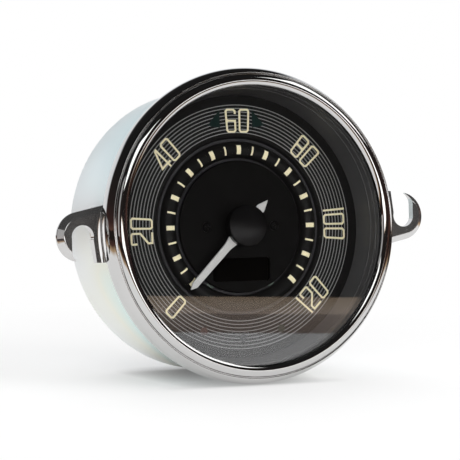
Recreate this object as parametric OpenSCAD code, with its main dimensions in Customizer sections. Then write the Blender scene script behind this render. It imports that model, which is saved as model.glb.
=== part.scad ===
// Round electric speedometer for a classic vehicle: chrome bezel, flat glass, two-level black dial,
// geared stepper pointer and two cast hooks that hang on screws behind the dash.
// Millimetres. The front faces -Y, +Z is up and the gauge's axis lies along Y.
// The origin is on that axis, in the middle of the bezel's rim.

/* [Bezel and glass] */
// Outside diameter of the bezel's rim
bezel_d = 120; // [118:0.5:124]
// Width of the bezel's front, from the rim in to the opening
front_w = 6.4; // [6:0.1:7]
// Length of the rim's straight outside wall
rim_land = 5; // [4:0.5:5.5]
// Thickness of the bezel's sheet
bezel_sheet = 0.9; // [0.7:0.1:1]
// Thickness of the glass
glass_t = 2; // [1.6:0.1:2]

/* [Case] */
// How far the bezel's rim stands out past the case
rim_step = 5.2; // [5:0.1:5.6]
// Distance from the dial back to the case's rear face
case_back = 38.6; // [36:0.5:50]
// Thickness of the case's sheet
case_wall = 1; // [0.8:0.1:1]
// Radius of the bend round the case's rear edge
case_bend = 1.6; // [1:0.2:3]

/* [Dial] */
// Distance from the middle of the rim back to the dial
dial_depth = 11.5; // [11.5:0.1:12]
// Width of the numeral plate, from its outer edge to its inner edge
numeral_plate_w = 17.4; // [17.2:0.1:17.8]
// Highest number on the dial
top_number = 120; // [80:20:120]
// Angle that the pointer sweeps from the first number to the last
sweep = 270; // [240:5:270]
// Height of a numeral
numeral_h = 9.2; // [8:0.2:9.4]
// Width of a numeral's stroke
numeral_stroke = 0.75; // [0.7:0.05:1.2]
// Distance from the numeral plate's inner edge to the numerals' centres
numeral_rise = 6; // [5.4:0.1:6.4]
// Height of the tick ring above the dial
tick_ring_h = 2; // [1.4:0.2:2.4]
// Width of the mark at each ten
major_tick_w = 1.7; // [1.4:0.1:2.4]
// Width of the mark at each five
minor_tick_w = 0.7; // [0.6:0.1:1.3]

/* [Pointer] */
// Distance from the axis to the pointer's tip
pointer_len = 33.4; // [31:0.2:34]
// Distance from the axis to the end of the tail
tail_len = 13.8; // [12:0.2:15]
// Radius of the cap over the pointer's hub
hub_cap_r = 8; // [7:0.2:9]
// Height of the hub cap's top above the dial
hub_top = 8.4; // [8:0.2:9.4]

/* [Hooks] */
// Distance from the case's side out to the centre of each slot
slot_out = 12.5; // [12.2:0.1:13.7]
// Width of the slot in a hook
slot_w = 8.7; // [7.5:0.1:8.8]
// Thickness of a hook
hook_t = 3.2; // [3:0.1:3.8]
// Distance from the gauge's axis down to the hooks' centre
hook_drop = 0; // [0:0.1:2]
// Turn of the hooks against the dial
hook_turn = -0.5; // [-4:0.5:4]

/* [Motor] */
// Size of the gears' teeth, as pitch diameter over tooth count
gear_module = 0.3; // [0.28:0.01:0.3]
// Teeth on each wheel
wheel_teeth = 40; // [40:40:40]
// Teeth on each pinion
pinion_teeth = 10; // [10:10:10]

/* [Hidden] */
$fn = 96;
eps = 0.01;

// Heights are measured forward from the dial. The rim's straight wall is centred on the origin.
bezel_r = bezel_d / 2;
opening_r = bezel_r - front_w;
rim_front = dial_depth + rim_land / 2;
rim_rear = dial_depth - rim_land / 2;
rear_edge = 0.6;
bezel_rear = rim_rear - rear_edge;
roll_r = 3.1;
bead_r = 0.95;
bead_gap = 0.2;
bead_rise = 0.665;
lip_r = 0.55;

// Parts clamped between the bezel's lip and its crimped rear edge, from the rear to the front
case_r = bezel_r - rim_step;
case_inner_r = case_r - case_wall;
crimp_gap = 1.4;
crimp_inner_r = case_r + crimp_gap;
flange_inset = 1.6;
flange_r = bezel_r - flange_inset;
flange_rear = bezel_rear + bezel_sheet;
flange_front = flange_rear + case_wall;
case_gasket_t = 1;
case_gasket_inset = 0.2;
ring_flange_rear = flange_front + case_gasket_t;
ring_flange_t = 1.65;
ring_flange_inset = 1.4;
ring_flange_r = bezel_r - ring_flange_inset;
wall_top = ring_flange_rear + ring_flange_t;
gasket_lip = 0.5;
glass_rear = wall_top + gasket_lip;
glass_front = glass_rear + glass_t;
lip_rear = glass_front + gasket_lip;
glass_inset = 3.8;
glass_r = bezel_r - glass_inset;
gasket_inset = 2.8;
gasket_r = bezel_r - gasket_inset;
lip_cover = 0.3;
gasket_inner_r = opening_r + lip_cover;

// Dial and the moulding that carries it. Holes for screws and plugs are wider by hole_gap
hole_gap = 0.2;
slide_gap = 0.1;
plate_t = 1;
plate_gap = 1.8;
plate_r = case_inner_r - plate_gap;
plate_inner_r = plate_r - numeral_plate_w;
plate_bevel = 0.8;
wall_foot_w = 1.5;
wall_foot_h = 1.5;
wall_foot_r = plate_r - wall_foot_w;
wall_reveal = 0.3;
wall_top_r = opening_r - wall_reveal;
wall_gap = 0.3;
wall_outer_r = case_inner_r - wall_gap;
case_gasket_gap = 0.6;
case_gasket_inner_r = wall_outer_r + case_gasket_gap;
wall_bead_r = 0.25;
wall_bead_heights = [8.5, 11.4];
carrier_front = -plate_t;
carrier_t = 2;
carrier_rear = carrier_front - carrier_t;
carrier_r = plate_r;
skirt_t = 1.6;
ring_gap = 1;
tick_arc_r = 3.3;
tick_arc_h = tick_ring_h - tick_arc_r;
tick_ring_r = plate_inner_r - plate_bevel - ring_gap - tick_arc_r;
tick_in = 1.8;
tick_out = 1.6;
tick_step = 5;
tick_count = top_number / tick_step;
tick_print = 0.08;
disc_gap = 0.8;
disc_r = tick_ring_r - tick_arc_r - disc_gap;
disc_top = 1;
disc_t = 1.2;
disc_rear = disc_top - disc_t;
disc_bevel = 0.4;
dial_hole_r = 3;

// Print on the dial, laid in two passes
line_print = 0.05;
ink_top = 0.12;
line_w = 0.32;
line_count = 9;
line_start = 1.5;
line_end = 3.84;
first_line_r = plate_inner_r + line_start;
line_pitch = (wall_foot_r - line_end - first_line_r) / (line_count - 1);
numeral_r = plate_inner_r + numeral_rise;
fan_share = 0.55;
numeral_w = 4.4;
wide_numeral_w = 4.6;
numeral_gap = 1.1;
// Each number's shift clockwise from its mark, as on the old dials that this layout follows
numeral_shift = [-1.5, -1.0, -1.4, 0.6, 0.2, -0.3, -2.5];
upright_numbers = 6;
numeral_step = 20;
triangle_base_x = 6.8;
triangle_base_h = 6.8;
triangle_tip_angle = 17.2;
triangle_rise = 0.7;

// Display and warning lamps
window_w = 24.2;
window_h = 8.9;
window_drop = 9;
window_y = window_drop - disc_r;
window_corner = 1;
pane_margin = 1;
pane_t = 0.8;
display_w = 28;
display_h = 13;
display_t = 2.4;
display_pins = 6;
display_pin_r = 0.3;
display_pin_end = 2;
display_pin_inset = 0.8;
lamp_inset = 7.8;
lamp_ring_r = wall_foot_r - lamp_inset;
lamp_angles = [247.5, 270, 292.5];
lamp_r = 1.5;
lamp_flange_r = 2.2;
lamp_flange_t = 1;
lamp_tube_r = 2.8;
lamp_tube_gap = 1.6;

// Fasteners
dial_screw_x = 14.2;
dial_screw_head_r = 1.9;
dial_screw_head_h = 0.95;
dial_screw_r = 1.1;
dial_screw_len = 5;
pillar_inset = 8;
pillar_ring_r = plate_r - pillar_inset;
pillar_angles = [90, 210, 330];
pillar_r = 3.5;
rear_screw_r = 1.5;
rear_screw_head_r = 2.9;
rear_screw_head_h = 1.9;
rear_screw_len = 10;
post_inset = 4.6;
post_ring_r = plate_inner_r - post_inset;
post_angles = [30, 150, 270];
post_r = 2.5;
board_screw_r = 1;
board_screw_head_r = 2.1;
board_screw_head_h = 1.5;
board_screw_len = 6;
screw_room = 0.4;

// Circuit board. The two chips keep their distance from the screws beside them
board_front = -13.6;
board_t = 1.6;
board_rear = board_front - board_t;
board_r = carrier_r - hole_gap;
processor_off = [10, -6];
processor_at = post_ring_r * [cos(post_angles[1]), sin(post_angles[1])] + processor_off;
processor_size = [12, 12, 1.6];
regulator_off = [-6, -9];
regulator_at = post_ring_r * [cos(post_angles[0]), sin(post_angles[0])] + regulator_off;
regulator_size = [6.6, 9.4, 2.3];
crystal_at = [-20, -2];
crystal_size = [11, 4.6, 3.5];
capacitor_at = [26, -10];
capacitor_r = 4;
capacitor_h = 10;
light_h = 1.2;
dial_light_w = 2.6;
dial_light_count = 6;
warning_light_w = 2;
guide_t = 2;
guide_edge = 1.4;
guide_inner_r = plate_inner_r + guide_edge;
guide_margin = 3;
guide_outer_r = plate_r - guide_margin;

// Motor: the gear train runs straight up from the axis
gear_step = gear_module * (wheel_teeth + pinion_teeth) / 2;
rotor_y = 2 * gear_step;
pressure_angle = 20;
tooth_share = 0.93;
tooth_root = 1.25;
tooth_tip = 0.9;
shaft_clear = 0.04;
arbor_r = 0.75;
axle_r = 0.5;
motor_rear = board_front;
motor_joint = -9;
motor_front_face = -4.2;
motor_skin = 1;
motor_r = 9.5;
motor_half_w = 17;
motor_low_y = 9;
motor_head = 10;
motor_high_y = rotor_y + motor_head;
boss_r = 2.2;
boss_top = 0.4;
output_gear_z = -7.4;
idler_wheel_z = -11.6;
gear_t = 1.4;
gear_hub_r = 1.8;
gear_hub_h = 1;
rotor_pinion_z = -11.8;
magnet_z = -9.8;
magnet_h = 3.6;
magnet_r = 4;
axle_seat = 0.5;
axle_low = motor_rear + axle_seat;
axle_high = motor_front_face - axle_seat;
stator_z = -9.4;
stator_t = 1.2;
stator_gap = 0.4;
stator_ring_w = 0.8;
stator_bar_w = 3.2;
yoke_w = 2.4;
yoke_gap = 0.6;
coil_x = 12;
coil_w = 6.8;
coil_rise = 2;
coil_y = rotor_y + coil_rise;
coil_len = 3.6;
coil_low = -12.2;
coil_h = 6.6;
leg_w = 2.8;

// Pointer
pointer_rest = mark_angle(0);
blade_top = 5.8;
blade_t = 0.8;
blade_rear = blade_top - blade_t;
hub_rear = 2.8;
hub_disc_r = 3.4;
hub_boss_r = 2;
cap_rear = 4.4;
cap_wall = 0.9;
cap_roof = 1.2;
cap_post_r = 2.2;
blade_root_w = 4.4;
blade_w = 3;
blade_tip_w = 2.6;
blade_neck = 11;
blade_inset = 0.6;
tip_taper = 2.4;
tail_w = 3.6;
tail_taper = 4.2;
slit_gap = 0.3;
slit_start = 1;
cap_crown = 0.4;
dimple_r = 0.35;
dimple_depth = 0.2;

// Rear socket
case_rear = -case_back;
case_rear_inner = case_rear + case_wall;
socket_y = -12;
socket_w = 28;
socket_h = 14;
socket_wall = 1.5;
socket_out = 9;
socket_flange = 2;
socket_flange_t = 2;
socket_seal_t = 0.8;
socket_floor_drop = 0.6;
socket_floor = case_rear - socket_floor_drop;
socket_base_inset = 2;
socket_key_w = 2;
pin_rows = 2;
pin_columns = 4;
pin_pitch = 5;
pin_r = 0.6;
pin_free = 5.4;
vent_x = 24;
vent_y = 16;
vent_r = 3.5;
vent_stem_r = 2;
vent_cap_h = 1.4;
vent_stem_over = 1.2;

// Hooks, drawn with X away from the case and Y towards the closed end of the slot
hook_gap = 0.6;
hook_front = bezel_rear - hook_gap;
hook_rear = hook_front - hook_t;
slot_r = slot_w / 2;
slot_reach = case_r + slot_out;
slot_y = -3.3;
hook_outer_r = 9.3;
hook_outer_x = 0.2;
hook_outer_y = 0.1;
hook_top_slope = -12.9;
hook_leg_low = -9.6;
hook_root = 3.5;
hook_root_x = -slot_out - hook_root;
hook_arm_root = 5.5;
hook_arm = slot_out + hook_arm_root;
slot_splay = 0.95;
slot_flat = 0.03;
slot_lead = 0.4;
hook_bevel_w = 2.2;
hook_bevel_h = 2.3;
tip_x = 2.2;
curl_r = 4.95;
curl_x = -0.6;
curl_y = -4.5;
saddle_t = 1.8;
saddle_len = 17;
saddle_turn = 10;
saddle_drop = asin(hook_drop / case_r);
saddle_shift_left = 1.3 + saddle_drop;
saddle_shift_right = 0.7 - saddle_drop;
saddle_overlap = 1;
saddle_root = 0.5;
rivet_r = 1.6;
rivet_head_r = 2.6;
rivet_head_h = 1.5;
rivet_drop = 12.4;
rivet_turn = 6.5;
rivet_tail = 0.3;

// Turns a piece that is drawn round +Z, with the dial at height 0, into the gauge's own frame
module gauge() {
    rotate([90, 0, 0])
        translate([0, 0, -dial_depth])
            children();
}

// A ring with a rectangular section
module ring(outer, inner, low, high) {
    translate([0, 0, low])
        difference() {
            cylinder(r = outer, h = high - low);
            translate([0, 0, -eps])
                cylinder(r = inner, h = high - low + 2 * eps);
        }
}

// A round post
module post(r, low, high) {
    translate([0, 0, low])
        cylinder(r = r, h = high - low);
}

// A rectangular block, centred on x and y
module block(w, h, low, high) {
    translate([-w / 2, -h / 2, low])
        cube([w, h, high - low]);
}

// A pan head with a cross recess, its underside at height 0
module cross_head(r, h) {
    recess_w = r * 0.28;
    recess_len = r * 1.2;
    recess_floor = h * 0.45;
    side_h = h * 0.5;
    top_r = r * 0.7;
    difference() {
        union() {
            cylinder(r = r, h = side_h);
            translate([0, 0, side_h])
                cylinder(r1 = r, r2 = top_r, h = h - side_h);
        }
        for (a = [0, 90])
            rotate([0, 0, a])
                translate([-recess_len / 2, -recess_w / 2, recess_floor])
                    cube([recess_len, recess_w, h]);
    }
}

// A screw that points back from height 0, its head in front
module screw(head_r, head_h, shank_r, len) {
    cross_head(head_r, head_h);
    post(shank_r, -len, eps);
}

// Places a child at a radius and an angle on the dial
module at(r, angle) {
    translate([r * cos(angle), r * sin(angle), 0])
        children();
}

module bezel_outline() {
    union() {
        translate([bezel_r - bezel_sheet, rim_rear])
            square([bezel_sheet, rim_land]);
        intersection() {
            difference() {
                translate([bezel_r - roll_r, rim_front])
                    circle(r = roll_r);
                translate([bezel_r - roll_r, rim_front])
                    circle(r = roll_r - bezel_sheet);
            }
            translate([bezel_r - roll_r, rim_front])
                square([roll_r, roll_r]);
        }
        intersection() {
            translate([bezel_r - rear_edge, rim_rear])
                circle(r = rear_edge);
            translate([bezel_r - rear_edge, rim_rear - rear_edge])
                square([rear_edge, rear_edge]);
        }
        translate([crimp_inner_r, bezel_rear])
            square([bezel_r - rear_edge - crimp_inner_r, bezel_sheet]);
        translate([opening_r, lip_rear])
            square([bezel_r - roll_r - opening_r, lip_r]);
        translate([opening_r + lip_r, lip_rear + lip_r])
            circle(r = lip_r);
        intersection() {
            translate([bezel_r - roll_r - bead_r - bead_gap, lip_rear + bead_rise])
                circle(r = bead_r);
            translate([opening_r, lip_rear])
                square([bezel_r - opening_r, 2 * bead_r]);
        }
    }
}

module bezel() {
    color("silver")
        gauge()
            rotate_extrude()
                bezel_outline();
}

module glass() {
    color("lightcyan", 0.3)
        gauge()
            post(glass_r, glass_rear, glass_front);
}

// Rubber channel round the edge of the glass
module glass_gasket() {
    color("dimgray")
        gauge()
            difference() {
                ring(gasket_r, gasket_inner_r, wall_top, lip_rear);
                post(glass_r, glass_rear, glass_front);
            }
}

// Rubber washer between the case's flange and the wall ring's
module case_gasket() {
    color("dimgray")
        gauge()
            ring(flange_r - case_gasket_inset, case_gasket_inner_r, flange_front, ring_flange_rear);
}

// Satin black wall between the glass and the dial, with two fine beads on its sloping face
module wall_ring() {
    slope = (wall_top_r - wall_foot_r) / wall_top;
    color([0.12, 0.12, 0.13])
        gauge()
            rotate_extrude()
                union() {
                    polygon([
                        [wall_foot_r, 0],
                        [plate_r, 0],
                        [wall_outer_r, wall_foot_h],
                        [wall_outer_r, ring_flange_rear],
                        [ring_flange_r, ring_flange_rear],
                        [ring_flange_r, wall_top],
                        [wall_top_r, wall_top]]);
                    for (h = wall_bead_heights)
                        translate([wall_foot_r + slope * h, h])
                            circle(r = wall_bead_r, $fn = 24);
                }
}

module case_can() {
    bend = case_bend;
    least_bend = 0.1;
    inner_bend = max(bend - case_wall, least_bend);
    color([0.80, 0.86, 0.86])
        gauge()
            difference() {
                union() {
                    ring(case_r, case_inner_r, case_rear + bend, flange_front);
                    ring(flange_r, case_inner_r, flange_rear, flange_front);
                    rotate_extrude()
                        difference() {
                            union() {
                                translate([case_r - bend, case_rear + bend])
                                    circle(r = bend);
                                translate([0, case_rear])
                                    square([case_r - bend, case_wall]);
                            }
                            translate([case_r - bend, case_rear + bend])
                                circle(r = inner_bend);
                            translate([case_r - 3 * bend, case_rear + bend])
                                square([3 * bend - case_wall, 2 * bend]);
                            translate([case_r - 3 * bend, case_rear + case_wall])
                                square([2 * bend, bend]);
                        }
                }
                for (a = pillar_angles)
                    at(pillar_ring_r, a)
                        post(rear_screw_r + hole_gap, case_rear - eps, case_rear_inner + eps);
                translate([0, socket_y, 0])
                    block(socket_w + hole_gap, socket_h + hole_gap,
                        case_rear - eps, case_rear_inner + eps);
                translate([vent_x, vent_y, 0])
                    post(vent_stem_r, case_rear - eps, case_rear_inner + eps);
                for (i = [0:3])
                    rivet_place(i)
                        post(rivet_r, case_inner_r - case_wall, case_r + case_wall);
            }
}

module numeral_plate() {
    color([0.06, 0.06, 0.07])
        gauge()
            difference() {
                rotate_extrude()
                    polygon([
                        [plate_inner_r - plate_bevel, -plate_t],
                        [plate_r, -plate_t],
                        [plate_r, 0],
                        [plate_inner_r, 0]]);
                for (a = lamp_angles)
                    at(lamp_ring_r, a)
                        post(lamp_r, -plate_t - eps, eps);
            }
}

// Fine grey circles printed on the numeral plate
module dial_lines() {
    color([0.45, 0.46, 0.47])
        gauge()
            difference() {
                rotate_extrude()
                    for (i = [0:line_count - 1])
                        translate([first_line_r + i * line_pitch - line_w / 2, 0])
                            square([line_w, line_print]);
                for (a = lamp_angles)
                    at(lamp_ring_r, a)
                        post(lamp_r, -eps, ink_top);
            }
}

// The outline of a stroke is its path, set off by half its width to each side with mitred corners
function unit(v) = v / norm(v);
function leg_in(path, i) = i > 0 ? unit(path[i] - path[i - 1]) : unit(path[1] - path[0]);
function leg_out(path, i) = i < len(path) - 1 ? unit(path[i + 1] - path[i]) : leg_in(path, i);
function left_of(v) = [-v[1], v[0]];
function offset_point(path, i, half) =
    let (a = left_of(leg_in(path, i)), b = left_of(leg_out(path, i)))
    path[i] + half * (a + b) / (1 + a * b);
function offset_path(path, half) = [for (i = [0:len(path) - 1]) offset_point(path, i, half)];
function reversed(list) = [for (i = [len(list) - 1:-1:0]) list[i]];

// A stroke along an open path
module stroke(path) {
    half = numeral_stroke / 2;
    polygon(concat(offset_path(path, half), reversed(offset_path(path, -half))));
}

// Opens an outline out along the radius, and shifts it along the number
function fanned(path, x) =
    [for (p = path) [(p[0] + x) * (1 + fan_share * p[1] / numeral_r), p[1]]];
function box_path(x0, x1, y0, y1, k) = [
    [x0 + k, y0], [x1 - k, y0], [x1, y0 + k], [x1, y1 - k],
    [x1 - k, y1], [x0 + k, y1], [x0, y1 - k], [x0, y0 + k]];
module fanned_box(x, x0, x1, y0, y1, k) {
    polygon(fanned(box_path(x0, x1, y0, y1, k), x));
}

glyph_corner = 0.8;
hole_corner = 0.35;
two_hook = 2.7;
two_turn = 0.6;
two_foot = 2;
four_bar = 1.9;
four_slant = 0.3;
four_stem = 0.5;
six_mouth = 2;
function glyph_w(c) = c == "1" ? numeral_stroke : c == "2" ? wide_numeral_w : numeral_w;

// A numeral, drawn about its own centre and then shifted by x along the number
module glyph(c, x) {
    w = glyph_w(c) / 2;
    h = numeral_h / 2;
    s = numeral_stroke;
    e = s / 2;
    if (c == "1")
        polygon(fanned([[-e, -h], [e, -h], [e, h], [-e, h]], x));
    else if (c == "2")
        stroke(fanned([[e - w, h - two_hook], [e - w, h - s], [s - w, h - e],
            [w - s, h - e], [w - e, h - s], [w - e, two_turn], [e - w, two_foot - h],
            [e - w, e - h], [w, e - h]], x));
    else if (c == "4") {
        stem = w * four_stem;
        stroke(fanned([[w * four_slant, h - e], [-w, four_bar - h], [w + e, four_bar - h]], x));
        polygon(fanned([[stem - e, -h], [stem + e, -h], [stem + e, h], [stem - e, h]], x));
    }
    else
        difference() {
            fanned_box(x, -w, w, -h, h, glyph_corner);
            if (c == "0")
                fanned_box(x, s - w, w - s, s - h, h - s, hole_corner);
            else {
                fanned_box(x, s - w, w - s, s - h, -e, hole_corner);
                fanned_box(x, s - w, w - s, e, h - s, hole_corner);
            }
            if (c == "6")
                polygon(fanned([[w - s - e, e], [w + s, e],
                    [w + s, h - six_mouth], [w - s - e, h - six_mouth]], x));
        }
}

function text_w(word, n) =
    n == 0 ? -numeral_gap : text_w(word, n - 1) + glyph_w(word[n - 1]) + numeral_gap;
function glyph_x(word, i) =
    text_w(word, i) + numeral_gap + glyph_w(word[i]) / 2 - text_w(word, len(word)) / 2;

module number_outline(word) {
    for (i = [0:len(word) - 1])
        glyph(word[i], glyph_x(word, i));
}

function mark_angle(value) = 90 + sweep / 2 - sweep * value / top_number;

module numerals() {
    color([0.87, 0.84, 0.68])
        gauge()
            for (i = [0:top_number / numeral_step])
                rotate([0, 0, mark_angle(numeral_step * i) - 90])
                    translate([0, numeral_r, line_print])
                        linear_extrude(ink_top - line_print)
                            rotate(i < upright_numbers ? 0 : 180)
                                translate([numeral_shift[i] * (i < upright_numbers ? 1 : -1), 0])
                                    number_outline(str(numeral_step * i));
}

// Dark green triangles on each side of the number at the top
module side_triangles() {
    tip = [numeral_r * sin(triangle_tip_angle), numeral_r * cos(triangle_tip_angle)];
    mid = numeral_r + triangle_rise;
    color([0.05, 0.17, 0.15])
        gauge()
            for (side = [0, 1])
                mirror([side, 0, 0])
                    translate([0, 0, line_print])
                        linear_extrude(ink_top - line_print)
                            polygon([
                                tip,
                                [triangle_base_x, mid + triangle_base_h / 2],
                                [triangle_base_x, mid - triangle_base_h / 2]]);
}

module tick_ring_outline(grow) {
    intersection() {
        translate([tick_ring_r, tick_arc_h])
            circle(r = tick_arc_r + grow);
        translate([tick_ring_r - tick_arc_r, carrier_front])
            square([2 * tick_arc_r, tick_arc_r * 2]);
    }
}

module tick_ring() {
    color([0.07, 0.07, 0.08])
        gauge()
            rotate_extrude()
                tick_ring_outline(0);
}

// Marks printed over the crown of the tick ring
module tick_marks() {
    color([0.87, 0.84, 0.68])
        gauge()
            intersection() {
                rotate_extrude()
                    difference() {
                        intersection() {
                            tick_ring_outline(tick_print);
                            translate([tick_ring_r - tick_in, 0])
                                square([tick_in + tick_out, tick_ring_h * 2]);
                        }
                        tick_ring_outline(0);
                    }
                for (i = [0:tick_count])
                    rotate([0, 0, mark_angle(tick_step * i)])
                        translate([tick_ring_r, 0, 0])
                            block(2 * tick_arc_r, i % 2 == 0 ? major_tick_w : minor_tick_w,
                                0, tick_ring_h * 2);
            }
}

module rounded_block(w, h, r, low, high) {
    translate([0, 0, low])
        linear_extrude(high - low)
            union() {
                square([w - 2 * r, h], center = true);
                square([w, h - 2 * r], center = true);
                for (x = [-1, 1], y = [-1, 1])
                    translate([x * (w / 2 - r), y * (h / 2 - r)])
                        circle(r = r);
            }
}

module centre_disc() {
    color([0.10, 0.10, 0.11])
        gauge()
            difference() {
                union() {
                    post(disc_r, disc_rear, disc_top - disc_bevel);
                    translate([0, 0, disc_top - disc_bevel])
                        cylinder(r1 = disc_r, r2 = disc_r - disc_bevel, h = disc_bevel);
                }
                post(dial_hole_r, disc_rear - eps, disc_top + eps);
                for (x = [-dial_screw_x, dial_screw_x])
                    translate([x, 0, 0])
                        post(dial_screw_r + hole_gap, disc_rear - eps, disc_top + eps);
                translate([0, window_y, 0])
                    rounded_block(window_w, window_h, window_corner, disc_rear - eps, disc_top + eps);
            }
}

module dial_screw(x) {
    color([0.05, 0.05, 0.05])
        gauge()
            translate([x, 0, disc_top])
                screw(dial_screw_head_r, dial_screw_head_h, dial_screw_r, dial_screw_len);
}

module dial_screw_left() {
    dial_screw(-dial_screw_x);
}

module dial_screw_right() {
    dial_screw(dial_screw_x);
}

// Smoked pane behind the window in the centre disc
module display_window() {
    color([0.05, 0.05, 0.06])
        gauge()
            translate([0, window_y, 0])
                block(window_w + 2 * pane_margin, window_h + 2 * pane_margin,
                    disc_rear - pane_t, disc_rear);
}

module display_module() {
    row_y = display_h / 2 - display_pin_inset;
    pitch = (display_w - 2 * display_pin_end) / (display_pins - 1);
    color([0.25, 0.30, 0.28])
        gauge()
            translate([0, window_y, 0]) {
                block(display_w, display_h, carrier_front - display_t, carrier_front);
                for (i = [0:display_pins - 1], side = [-1, 1])
                    translate([(i - (display_pins - 1) / 2) * pitch, side * row_y, 0])
                        post(display_pin_r, board_front, carrier_front - display_t + eps);
            }
}

module lamp_lens(angle, tint) {
    color(tint)
        gauge()
            at(lamp_ring_r, angle) {
                post(lamp_r, -plate_t, ink_top);
                post(lamp_flange_r, -plate_t - lamp_flange_t, -plate_t);
            }
}

module lamp_lens_red() {
    lamp_lens(lamp_angles[0], [0.45, 0.08, 0.08]);
}

module lamp_lens_blue() {
    lamp_lens(lamp_angles[1], [0.20, 0.28, 0.42]);
}

module lamp_lens_green() {
    lamp_lens(lamp_angles[2], [0.12, 0.36, 0.16]);
}

// Clear ring that spreads the board's light behind the dial
module light_guide() {
    color([0.85, 0.88, 0.90], 0.6)
        gauge()
            difference() {
                ring(guide_outer_r, guide_inner_r, carrier_rear - guide_t, carrier_rear);
                for (a = pillar_angles)
                    at(pillar_ring_r, a)
                        post(pillar_r + slide_gap, carrier_rear - guide_t - eps, carrier_rear + eps);
                for (a = lamp_angles)
                    at(lamp_ring_r, a)
                        post(lamp_tube_r + slide_gap, carrier_rear - guide_t - eps, carrier_rear + eps);
            }
}

module dial_carrier() {
    color([0.15, 0.15, 0.16])
        gauge()
            difference() {
                union() {
                    post(carrier_r, carrier_rear, carrier_front);
                    post(disc_r, carrier_front - eps, disc_rear);
                    ring(carrier_r, carrier_r - skirt_t, board_front, carrier_rear + eps);
                    for (a = pillar_angles)
                        at(pillar_ring_r, a)
                            post(pillar_r, case_rear_inner, carrier_rear + eps);
                    for (a = post_angles)
                        at(post_ring_r, a)
                            post(post_r, board_front, carrier_rear + eps);
                    for (a = lamp_angles)
                        at(lamp_ring_r, a)
                            post(lamp_tube_r, board_front + lamp_tube_gap, carrier_rear + eps);
                }
                post(dial_hole_r, carrier_rear - eps, disc_rear + eps);
                for (x = [-dial_screw_x, dial_screw_x])
                    translate([x, 0, 0])
                        post(dial_screw_r, carrier_rear - eps, disc_rear + eps);
                translate([0, window_y, 0]) {
                    block(display_w + hole_gap, display_h + hole_gap, carrier_rear - eps, carrier_front);
                    block(window_w + 2 * pane_margin + hole_gap, window_h + 2 * pane_margin + hole_gap,
                        carrier_front - eps, disc_rear + eps);
                }
                for (a = lamp_angles)
                    at(lamp_ring_r, a) {
                        post(lamp_flange_r, carrier_front - lamp_flange_t, carrier_front + eps);
                        post(lamp_r + slide_gap, board_front, carrier_front);
                    }
                for (a = pillar_angles)
                    at(pillar_ring_r, a)
                        post(rear_screw_r, case_rear_inner - eps, case_rear_inner + rear_screw_len);
                for (a = post_angles)
                    at(post_ring_r, a)
                        post(board_screw_r, board_front - eps,
                            board_rear + board_screw_len + screw_room);
            }
}

// Tapered needle with a flared root and a short pointed tail, over a small hub
module pointer() {
    root = hub_cap_r - blade_inset;
    shoulder = pointer_len - tip_taper;
    tail_shoulder = tail_len - tail_taper;
    color([0.90, 0.90, 0.88])
        gauge()
            rotate([0, 0, pointer_rest])
                difference() {
                    union() {
                        translate([0, 0, blade_rear])
                            linear_extrude(blade_t)
                                union() {
                                    polygon([
                                        [0, -blade_root_w / 2],
                                        [root, -blade_root_w / 2],
                                        [blade_neck, -blade_w / 2],
                                        [shoulder, -blade_tip_w / 2],
                                        [pointer_len, 0],
                                        [shoulder, blade_tip_w / 2],
                                        [blade_neck, blade_w / 2],
                                        [root, blade_root_w / 2],
                                        [0, blade_root_w / 2]]);
                                    polygon([
                                        [0, -tail_w / 2],
                                        [0, tail_w / 2],
                                        [-tail_shoulder, tail_w / 2],
                                        [-tail_len, 0],
                                        [-tail_shoulder, -tail_w / 2]]);
                                }
                        post(hub_disc_r, cap_rear, blade_top);
                        post(hub_boss_r, hub_rear, cap_rear + eps);
                    }
                    post(arbor_r, hub_rear - eps, blade_rear);
                }
}

module hub_cap() {
    color([0.16, 0.16, 0.17])
        gauge()
            rotate([0, 0, pointer_rest])
                difference() {
                    union() {
                        post(hub_cap_r, cap_rear, hub_top - cap_crown);
                        translate([0, 0, hub_top - cap_crown])
                            cylinder(r1 = hub_cap_r, r2 = hub_cap_r - cap_crown, h = cap_crown);
                    }
                    difference() {
                        post(hub_cap_r - cap_wall, cap_rear - eps, hub_top - cap_roof);
                        post(cap_post_r, blade_top, hub_top);
                    }
                    translate([hub_cap_r / 2 + slit_start, 0, 0])
                        block(hub_cap_r, blade_root_w + slit_gap, cap_rear - eps, blade_top);
                    translate([-hub_cap_r / 2 - slit_start, 0, 0])
                        block(hub_cap_r, tail_w + slit_gap, cap_rear - eps, blade_top);
                    post(dimple_r, hub_top - dimple_depth, hub_top + eps);
                }
}

module arbor() {
    color("lightgray")
        gauge()
            post(arbor_r, axle_low, blade_rear);
}

// An involute tooth's flank leaves the base circle and follows the unrolling string
function involute_turn(base, r) =
    let (a = acos(min(1, base / r)))
    tan(a) * 180 / PI - a;
function flank(teeth, r) =
    let (
        pitch_r = gear_module * teeth / 2,
        base = pitch_r * cos(pressure_angle))
    90 / teeth * tooth_share + involute_turn(base, pitch_r) - involute_turn(base, max(r, base));
function tooth(teeth, turn) =
    let (
        pitch_r = gear_module * teeth / 2,
        root = pitch_r - tooth_root * gear_module,
        tip = pitch_r + tooth_tip * gear_module,
        radii = [root, max(root, pitch_r * cos(pressure_angle)), pitch_r, (pitch_r + tip) / 2, tip])
    concat(
        [for (r = radii) [r * cos(turn - flank(teeth, r)), r * sin(turn - flank(teeth, r))]],
        [for (r = reversed(radii)) [r * cos(turn + flank(teeth, r)), r * sin(turn + flank(teeth, r))]]);

module gear(teeth, low, high) {
    translate([0, 0, low])
        linear_extrude(high - low)
            polygon([for (i = [0:teeth - 1]) for (p = tooth(teeth, 360 * i / teeth)) p]);
}

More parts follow.
